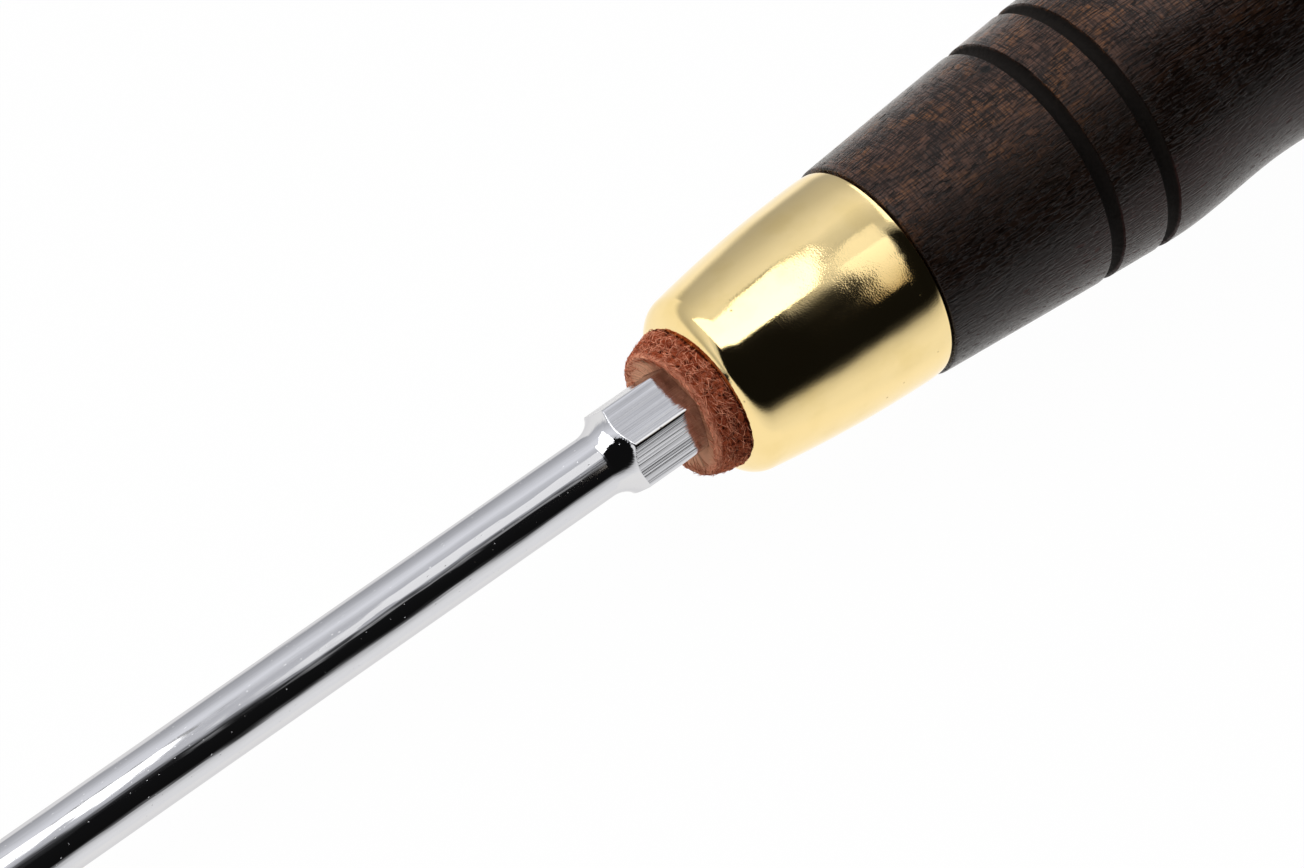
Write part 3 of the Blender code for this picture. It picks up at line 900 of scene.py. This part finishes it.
# %% [markdown]
# ## The handle
#
# The handle is turned from one piece of wood: a cone behind the ferrule, two grooves burnt black, a waist
# for the fingers and a bulb for the palm. Inside the ferrule it has a tenon, and the tang's square hole
# runs up its middle. The rings start at the bottom of that hole, come out over the tenon and end at the
# butt, so the piece is one closed skin.

# %% Handle sizes and shape
SHOULDER = 172.86
SHOULDER_RADIUS = 10.9
SHOULDER_EASE = 0.2
CONE_END = 194.8
CONE_END_RADIUS = 12.65
COLLAR = 200.5
COLLAR_RADIUS = 13.0
WAIST = 212.7
WAIST_RADIUS = 12.325
BULB = 241.7
BULB_RADIUS = 15.0
BUTT = 264.0
GROOVES = (191.0, 197.35)
GROOVE_HALF = 0.8
GROOVE_DEPTH = 0.9

GRIP = [
    (SHOULDER, SHOULDER_RADIUS),
    (CONE_END, CONE_END_RADIUS),
    (COLLAR, COLLAR_RADIUS),
    (WAIST, WAIST_RADIUS),
    (BULB, BULB_RADIUS),
]


def grip_tangents():
    """The slope at each place: level at a crest or a waist, elsewhere between the slopes beside it."""
    slopes = [(b[1] - a[1]) / (b[0] - a[0]) for a, b in zip(GRIP, GRIP[1:])]
    middle = [2.0 * a * b / (a + b) if a * b > 0.0 else 0.0 for a, b in zip(slopes, slopes[1:])]
    return [slopes[0], *middle, 0.0]


def grip_radius(x):
    """The smooth turned line of the handle."""
    if x >= BULB:
        return BULB_RADIUS * math.sqrt(max(1.0 - ((x - BULB) / (BUTT - BULB)) ** 2, 0.0))
    k = max(i for i in range(len(GRIP) - 1) if i == 0 or GRIP[i][0] <= x)
    (x0, r0), (x1, r1) = GRIP[k], GRIP[k + 1]
    tangents = grip_tangents()
    t = (x - x0) / (x1 - x0)
    pull = t * (1.0 - t) * ((1.0 - t) * tangents[k] - t * tangents[k + 1]) * (x1 - x0)
    return r0 + (r1 - r0) * float(smoothstep(t)) + pull


def groove_depth(x):
    """How deep the nearest groove is at x: a half round with a crisp edge."""
    deep = [GROOVE_DEPTH * math.sqrt(max(1.0 - ((x - c) / GROOVE_HALF) ** 2, 0.0)) for c in GROOVES]
    return max(deep)


print("handle is", 2 * WAIST_RADIUS, "mm thick at its waist and", 2 * BULB_RADIUS, "mm at its bulb")

# %% Hole and tenon
HANDLE_AROUND = 360
TENON_GAP = 0.3
TENON_STEPS = 8
HOLE_GAP = 0.15
HOLE_END = 216.0

angles = round_the_axis(HANDLE_AROUND)
tenon = ferrule_profile(FERRULE_WALL + TENON_GAP, TENON_STEPS)
hole_front = tenon[0, 0]
hole_share = (hole_front - SEAT) / (TANG_END - SEAT)
hole_widths = (
    (HOLE_END, TANG_POINT_WIDTH),
    (TANG_END, TANG_END_WIDTH),
    (hole_front, TANG_WIDTH + (TANG_END_WIDTH - TANG_WIDTH) * hole_share),
)
rings = [ring(x, polygon_radius(width / 2 + HOLE_GAP, 4, angles), angles) for x, width in hole_widths]
rings += [ring(x, radius, angles) for x, radius in tenon]
rings.append(ring(SHOULDER, tenon[-1, 1], angles))
burnt = [np.zeros(HANDLE_AROUND) for _ in rings]
print("hole and tenon have", len(rings), "rings")

# %% [markdown]
# The grooves were turned with a wire or a narrow tool, which tears the fibres where it leaves the wood. So
# the places of the rings are close together round each groove, and each groove's edge wanders a little with
# the angle, more on the rear lip than on the front.

# %% Build the handle
FINE_END, FINE_STEP, BULB_STEP = 216.0, 0.5, 0.8
BUTT_RINGS, GROOVE_RINGS, SHOULDER_RINGS = 40, 44, 6
GROOVE_CLEAR, GROOVE_REACH = 1.4 * GROOVE_HALF, 1.35 * GROOVE_HALF
FRONT_WANDER, REAR_WANDER, WANDER_FADE = 0.035, 0.050, 0.8
BURNT_DEPTH = 0.35
GROOVE_EDGE = math.radians(50.0)

places = set(np.arange(SHOULDER + SHOULDER_EASE, FINE_END, FINE_STEP).round(4))
places |= set(np.arange(FINE_END, BULB, BULB_STEP).round(4))
butt_turn = np.linspace(0.0, math.pi / 2, BUTT_RINGS)[:-1]
places |= {round(BULB + (BUTT - BULB) * math.sin(t), 4) for t in butt_turn}
groove_turn = np.linspace(0.0, math.pi, GROOVE_RINGS)
for centre in GROOVES:
    places = {x for x in places if abs(x - centre) > GROOVE_CLEAR}
    places |= {round(centre - GROOVE_REACH * math.cos(t), 4) for t in groove_turn}
turned_line = [
    (SHOULDER + SHOULDER_EASE * (1.0 - math.cos(t)), SHOULDER_RADIUS - SHOULDER_EASE * (1.0 - math.sin(t)))
    for t in np.linspace(0.0, math.pi / 2, SHOULDER_RINGS)
]
turned_line += [(x, grip_radius(x)) for x in sorted(places) if x > SHOULDER + SHOULDER_EASE]

front_lip = {c: FRONT_WANDER * wobble(angles, 14.0, c) for c in GROOVES}
rear_lip = {c: REAR_WANDER * (wobble(angles, 22.0, c + 5.0) + wobble(angles, 5.0, c)) for c in GROOVES}
for x, radius in turned_line:
    centre = min(GROOVES, key=lambda c: abs(x - c))
    near = float(1.0 - smoothstep((abs(x - centre) - GROOVE_HALF) / WANDER_FADE))
    shift = front_lip[centre] if x < centre else rear_lip[centre]
    depth = groove_depth(x)
    rings.append(ring(x + near * shift, radius - depth, angles))
    burnt.append(np.full(HANDLE_AROUND, float(smoothstep(depth / BURNT_DEPTH))))
handle = skin("handle_stained", rings)
handle.data.set_sharp_from_angle(angle=GROOVE_EDGE)
mark_points(handle, "burnt", burnt)

# %% [markdown]
# ## Stained wood
#
# The wood has a close grain, stained nearly black and sealed with a satin lacquer. Up close it is a
# lattice: fibres run along the axis, and the marks of the turning tool run round it, most clearly towards
# the far side. The stain is smeared as a rag leaves it, and in patches it took so little that the wood
# shows orange-brown. The far side faces the key lamp, and there the stain is made lighter and the patches
# are kept, which is painted light; the near side is left nearly black as painted shade. Open pores are
# short dark dashes along the grain, and one small knot shows. Every pattern is noise on a stretched place,
# so there is no seam anywhere.

# %% Grain and stain of the wood
# The thin-stain colour is also painted light on the far side, where the orange patches are kept too.
STAIN_BLACK, STAIN_THIN_AND_LIT = (0.0036, 0.0021, 0.0014), (0.098, 0.0480, 0.0320)
STAIN_ORANGE = (0.200, 0.078, 0.024)
PORE_BLACK = (0.002, 0.0015, 0.0015)
KNOT_PLACE, KNOT_BLACK = (189.43, 5.03, 11.14), (0.0045, 0.0045, 0.0045)

wood, n = new_finish("stained_wood")
place = n.millimetres()
far_side = n.add("ShaderNodeSeparateXYZ", {}, {0: place}, output="Y")
fibre = n.clouds(place, (0.55, 5.8, 5.8), 1.5, 0.5).step(0.38, 0.60)
turning = n.clouds(place, (5.6, 0.6, 0.6), 1.5).step(0.36, 0.60)
woven = n.clouds(place, (0.16, 0.24, 0.24), 2.0).step(0.38, 0.60)
weave = (0.55 + 0.35 * woven) * far_side.step(-9.0, 0.0)
lattice = (0.12 + 0.88 * fibre) * (1 - weave + weave * turning)
flecks = n.clouds(place, (2.2, 3.0, 3.0), 3.0)
# The orange patches are the stain's own colour, kept to the far side as painted light.
patches = n.clouds(place, (0.20, 0.36, 0.36), 4.0, 0.8).step(0.46, 0.62) * far_side.step(-8.0, 3.0)
orange_take_and_lit_side = patches * lattice * (0.3 + 0.7 * flecks.step(0.36, 0.60))
smears = n.clouds(place, (0.12, 0.26, 0.26), 3.0, 1.0).step(0.36, 0.58)
# Painted light: the stain is made lighter towards the far side, and nearly black on the near side as
# painted shade.
thin_stain_and_light = lattice * (0.12 + 0.88 * far_side.step(-7.0, 1.5)) * (0.45 + 0.55 * smears)
pores = n.clouds(place, (0.9, 3.4, 3.4), 1.0).step(0.64, 0.70)
knot = n.spot(place, KNOT_PLACE, 0.40, 0.62)
colour = n.blend(thin_stain_and_light, STAIN_BLACK, STAIN_THIN_AND_LIT)
colour = n.blend(orange_take_and_lit_side * 0.75, colour, STAIN_ORANGE)
colour = n.blend(pores * 0.9, colour, PORE_BLACK)
colour = n.blend(knot, colour, KNOT_BLACK)
print("grain and stain with", len(n.tree.nodes), "nodes")

# %% [markdown]
# Two shaders share the handle. The first is the lacquered wood, with the lattice, pores and shallow dashes
# as its relief. The second has no lacquer: it is black soot in the burnt grooves and in the pores, and on
# the low side a little of it adds a rosy film, a painted sheen. A Mix Shader sets how much of it shows.

# %% Lacquer, soot and painted sheen
SOOT_BLACK, SOOT_BROWN = (0.0035, 0.0028, 0.0024), (0.0130, 0.0095, 0.0075)
# Painted sheen: a rosy colour for the low side of the handle.
PAINTED_SHEEN_ROSE = (0.090, 0.032, 0.028)
LACQUER_TINT = (1.0, 0.90, 0.88)

burnt_here = n.mark("burnt")
# Painted sheen: the near, low side of the handle, where part of the lacquer gives way to a rosy film.
low_side_painted_light = 1 - far_side.step(-12.0, -9.8)
dashes = n.clouds(place, (1.0, 4.6, 4.6), 1.0).step(0.54, 0.66)
lacquer = n.add("ShaderNodeBsdfPrincipled", {}, {
    "Base Color": colour,
    "Roughness": 0.11 + (1 - lattice) * 0.08 + pores * 0.2 + knot * 0.5,
    "Specular IOR Level": 0.21,
    "Specular Tint": LACQUER_TINT,
    "Normal": n.bump(lattice * 0.38 + flecks * 0.30 - pores * 1.2 - dashes * 0.4, 0.052),
})
soot_colour = n.blend(flecks, SOOT_BLACK, SOOT_BROWN)
soot_and_sheen = n.add("ShaderNodeBsdfPrincipled", {}, {
    "Base Color": n.blend(low_side_painted_light * (1 - burnt_here), soot_colour, PAINTED_SHEEN_ROSE),
    "Roughness": 0.8,
    "Specular IOR Level": 0.15,
    "Normal": n.bump(flecks, 0.05),
})
# On the low side, part of the lacquer gives way to the painted rosy sheen.
pores_and_sheen = pores * 0.6 + (1 - pores) * low_side_painted_light * 0.18
soot_and_sheen_share = burnt_here + (1 - burnt_here) * pores_and_sheen
n.add("ShaderNodeOutputMaterial", {}, {
    "Surface": n.add("ShaderNodeMixShader", {}, {0: soot_and_sheen_share, 1: lacquer, 2: soot_and_sheen}),
})
print("wood finish with", len(n.tree.nodes), "nodes")
dress(handle, wood, "handle")

# %% [markdown]
# ## Floor, lamps and room
#
# A shiny tool is mostly a picture of the room it is in. The table is white, and the tool rests on it with
# its collar and its tip, so the table is tilted by that small angle against the tool's own axis. The camera
# sees table and room as plain white, with only a trace of the tool's shadow. The metal doesn't mirror this
# table: the room further down has a table of its own, whose edge can be placed where the reflections show
# it.

# %% Floor
FLOOR_REACH = 3.0
TABLE_WHITE = (0.86, 0.86, 0.86)
PLAIN_WHITE = (1.0, 1.0, 1.0)
GLOW_SHARE = 0.985

rest_slope = min((COLLAR_RADIUS - tip_radius(x, np.zeros(1))[0]) / (COLLAR - x) for x in tip_places)
tool_points = np.array([corner.co for piece in (blade, handle) for corner in piece.data.vertices])
rest_level = float((tool_points[:, 2] + rest_slope * tool_points[:, 0]).min())
floor_material, n = new_finish("white_table")
light_path = n.add("ShaderNodeLightPath")
seen = light_path.output("Is Camera Ray") + light_path.output("Is Glossy Ray")
seen = (seen + light_path.output("Is Transmission Ray")).step(0.0, 1.0)
table = n.add("ShaderNodeBsdfDiffuse", {}, {"Color": TABLE_WHITE})
glow = n.add("ShaderNodeEmission", {}, {"Color": PLAIN_WHITE, "Strength": 1.0})
n.add("ShaderNodeOutputMaterial", {}, {
    "Surface": n.add("ShaderNodeMixShader", {}, {0: seen * GLOW_SHARE, 1: table, 2: glow}),
})
corners = [(x * FLOOR_REACH, y * FLOOR_REACH) for x, y in ((-1, -1), (1, -1), (1, 1), (-1, 1))]
floor = new_piece("floor", [(x, y, rest_level - rest_slope * x) for x, y in corners], [(0, 1, 2, 3)])
floor.data.materials.append(floor_material)
floor.visible_glossy = False
print("table tilted by", round(math.degrees(math.atan(rest_slope)), 2), "degrees")

# %% [markdown]
# The lamps are glowing panels. Where a panel shows in polished metal is a matter of direction, so its
# corners are directions from a spot on the axis: for each step up, how far they slide along the axis and
# how far they swing to the far side. A key softbox with a grey frame round its end hangs over the blade. A
# white card and a strip softbox are cut to the bright patches on the ferrule. A fill in front lifts the
# shadows, and doesn't show in the metal.

# %% Lamps
def grey(level):
    return (level, level, level)


def panel(name, spot, facing, distance, corners, near, far, across, mirrored=True):
    """A glowing panel at a distance from a spot on the axis, square to the direction of facing.

    Its corners are (slide, swing) pairs, and its colour goes from near to far in the direction across.
    """
    facing = facing.normalized()
    sights = [Vector((slide, swing, 1.0)) for slide, swing in corners]
    points = [spot + sight * (distance / sight.dot(facing)) for sight in sights]
    glow, n = new_finish(name + "_glow")
    place = n.add("ShaderNodeTexCoord").output("Object")
    ends = {0: place, 1: tuple(across)}
    depth = n.add("ShaderNodeVectorMath", {"operation": "DOT_PRODUCT"}, ends, output=1)
    reach = [point.dot(across) for point in points]
    fade = (depth - min(reach)) / (max(reach) - min(reach))
    colour = n.blend(fade, near, far)
    light = n.add("ShaderNodeEmission", {}, {"Color": colour})
    n.add("ShaderNodeOutputMaterial", {}, {"Surface": light})
    lamp = new_piece(name, points, [tuple(range(len(points)))])
    lamp.data.materials.append(glow)
    lamp.visible_camera = False
    lamp.visible_glossy = mirrored
    print(name, "has its corners at", [[round(c, 2) for c in point] for point in points])


UP = Vector((0.0, 0.0, 1.0))
TO_FAR_SIDE = Vector((0.0, 1.0, 0.0))
FERRULE_NOSE = Vector((0.155, 0.0, 0.0))
FERRULE_MIDDLE = Vector((0.165, 0.0, 0.0))
BOLSTER_END = Vector((0.15, 0.0, 0.0))
print("lamps are placed from", FERRULE_NOSE.x, FERRULE_MIDDLE.x, "and", BOLSTER_END.x, "m along the axis")

# %% Key softbox and its frame
KEY_FACING = Vector((-0.433, 0.541, 0.721))
KEY_ACROSS = Vector((0.476, 0.815, -0.326))
KEY_DISTANCE = 1.2
KEY_END = [(0.30, 0.50), (0.31, 0.70), (0.28, 0.84), (0.20, 0.78)]
KEY_SIDES = [(0.13, 0.66), (-1.1, 1.89), (-1.1, 0.19), (0.21, -0.075), (0.25, 0.133), (0.272, 0.29)]
FRAME_CORNERS = [(0.293, 0.45), *KEY_END, (0.20, 0.86), (0.29, 0.93), (0.332, 0.73), (0.318, 0.49)]
KEY_PLACE = (FERRULE_NOSE, KEY_FACING, KEY_DISTANCE)
FRAME_GREY = grey(0.4)

panel("key_softbox", *KEY_PLACE, KEY_END + KEY_SIDES, grey(2.5), grey(2.2), KEY_ACROSS)
panel("key_frame", *KEY_PLACE, FRAME_CORNERS, FRAME_GREY, FRAME_GREY, KEY_ACROSS)

# %% Card, strip and fill
CARD_PLACE = (FERRULE_MIDDLE, UP, 1.0)
CARD_CORNERS = [
    (0.28, -0.22), (0.262, -0.02), (0.272, 0.10), (0.292, 0.19), (0.325, 0.26), (0.36, 0.29),
    (0.374, 0.282), (0.384, 0.20), (0.386, 0.10), (0.394, -0.03), (0.394, -0.22),
]
STRIP_PLACE = (FERRULE_MIDDLE, UP, 0.2)
STRIP_CORNERS = [
    (0.264, -0.03), (0.269, -0.17), (0.294, -0.34), (0.322, -0.45), (0.368, -0.76), (0.42, -0.93),
    (0.48, -1.12), (0.557, -1.20), (0.52, -0.91), (0.466, -0.63), (0.43, -0.42), (0.422, -0.05),
]
STRIP_AMBER = (0.60, 0.49, 0.34)
FILL_PLACE = (BOLSTER_END, Vector((-1.0, -0.4, 0.1)), 1.0)
FILL_CORNERS = [(-6.0, -6.0), (-6.0, 1.0), (-2.0, 0.3), (-2.0, -2.0)]
FILL_GREY = grey(2.0)

panel("white_card", *CARD_PLACE, CARD_CORNERS, grey(1.05), grey(1.12), TO_FAR_SIDE)
panel("strip_softbox", *STRIP_PLACE, STRIP_CORNERS, STRIP_AMBER, grey(1.4), TO_FAR_SIDE)
panel("front_fill", *FILL_PLACE, FILL_CORNERS, FILL_GREY, FILL_GREY, UP, mirrored=False)

# %% [markdown]
# The room is a ramp over the angle about the tool's axis, measured from straight up towards the camera's
# side: a wall behind that brightens upwards and dims again, the dark side where the photographer stands,
# and the table below. A ramp alone is the same all along the axis, so masks change it where the line of
# sight leans ahead to the tip or back to the butt.

# %% Room round the axis
ROOM = [
    (-180.0, 0.50), (-101.0, 0.50), (-88.0, 0.55), (-76.0, 0.62), (-64.0, 0.77), (-52.0, 0.92),
    (-41.0, 1.00), (-29.0, 0.78), (-17.0, 0.66), (-5.0, 0.70), (2.0, 0.68), (8.0, 0.58),
    (13.0, 0.18), (18.0, 0.035), (30.0, 0.008), (75.0, 0.006), (81.0, 0.035), (86.0, 0.22),
    (90.0, 0.53), (95.0, 0.74), (104.0, 0.91), (116.0, 1.00), (180.0, 1.00),
]
COOL_CAST = (0.97, 0.98, 1.02)
COOL_BELOW = 50.0
FULL_TURN = 360.0

world = bpy.data.worlds.new("studio")
world.use_nodes = True
bpy.context.scene.world = world
n = Nodes(world.node_tree)
lean = n.add("ShaderNodeSeparateXYZ", {}, {0: n.add("ShaderNodeTexCoord").output("Generated")})
aside, height = lean.output("Y"), lean.output("Z")
angle = lean.maths("ARCTAN2", -1.0 * aside, height) * (180.0 / math.pi)
stops = []
for turned, level in ROOM:
    cast = COOL_CAST if turned < COOL_BELOW else PLAIN_WHITE
    stops.append((turned / FULL_TURN + 0.5, tuple(level * c for c in cast)))
# Towards the butt the edge of the dark side bends back, and a thin pale line runs through the dark.
rearward = lean.step(0.295, 0.33)
bent = angle - 7.0 * rearward * angle.step(0.0, 12.0) * (1 - angle.step(40.0, 70.0))
thin_line = rearward * angle.step(22.5, 25.5) * (1 - angle.step(28.0, 33.0))
colour = n.add("ShaderNodeValToRGB", {"stops": stops}, {0: bent / FULL_TURN + 0.5})
colour = n.blend(thin_line * 0.32, colour, PLAIN_WHITE)
print("room with", len(ROOM), "stops")

# %% Room along the axis
ROOM_DARK = grey(0.006)
REAR_GLOW = grey(1.9)
MIRRORED_TABLE = (1.06, 1.05, 1.025)

# Above the table it is dark ahead of the tool and far back, and beyond the handle there is a glow.
lit_side = 1 - angle.step(72.0, 80.0)
ahead = (1 - lean.step(0.15, 0.20)) * angle.step(-24.0, -16.0)
far_back = lean.step(0.39, 0.43) * angle.step(-8.0, 4.0)
colour = n.blend((ahead + far_back) * lit_side, colour, ROOM_DARK)
behind = lean.step(0.52, 0.56) * (1 - angle.step(-14.0, -6.0)) * angle.step(-80.0, -70.0)
colour = n.blend(behind, colour, REAR_GLOW)
# The edge of the mirrored table slants: it drops with the lean, between two limits.
held_lean = lean.maths("MINIMUM", lean.maths("MAXIMUM", lean, 0.11), 0.34)
edge = 0.24 * aside - 1.67 * held_lean - height
colour = n.blend(edge.step(-0.10, 0.10), colour, MIRRORED_TABLE)
seen = n.add("ShaderNodeLightPath").output("Is Camera Ray")
colour = n.blend(seen, colour, PLAIN_WHITE)
background = n.add("ShaderNodeBackground", {}, {"Color": colour, "Strength": 1.0})
n.add("ShaderNodeOutputWorld", {}, {"Surface": background})
print("room with", len(n.tree.nodes), "nodes")

# %% [markdown]
# ## Sizes
#
# The dressed tool has to fill the same box as the CAD model.
